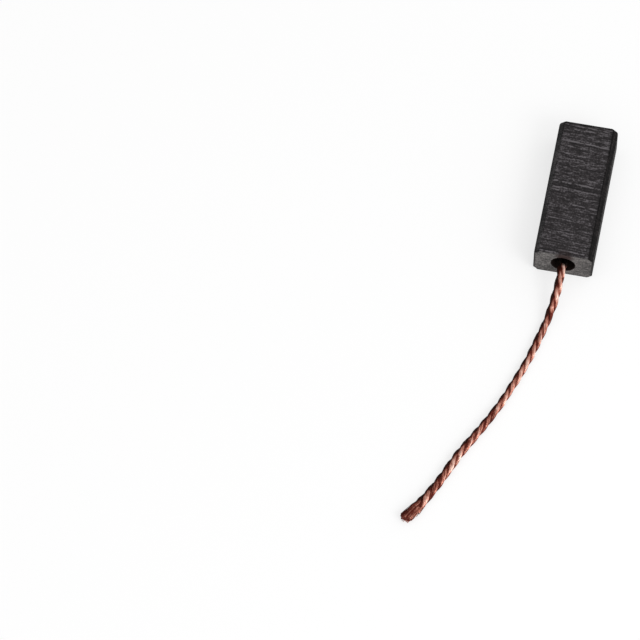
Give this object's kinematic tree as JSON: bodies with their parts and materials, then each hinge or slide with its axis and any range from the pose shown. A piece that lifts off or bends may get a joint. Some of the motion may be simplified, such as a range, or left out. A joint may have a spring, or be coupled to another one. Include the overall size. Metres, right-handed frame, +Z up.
{
  "type": "carbon brush",
  "caption": "Chamfered rectangular carbon brush with a blind bore in one end, from which a stranded copper pigtail lead with a frayed cut end trails along the surface.",
  "frame": {"origin": "middle of the block's underside, in the plane that the block and its lead lie on", "axes": "+X from the lead end to the contact face, +Y across the width, +Z up through the thickness"},
  "size_m": [0.0959, 0.0287, 0.008],
  "materials": {
    "carbon": "sawn graphite, dark grey, matt with a faint sheen, fine saw lines across its length",
    "tamped_copper": "rammed copper powder, dull red-brown",
    "copper_strand": "bare stranded copper wire, bright on the crowns and dark in the grooves"
  },
  "bodies": {
    "root": {"carbon_block": "carbon", "tamping_plug": "tamped_copper", "pigtail_lead": "copper_strand"}
  },
  "joints": []
}
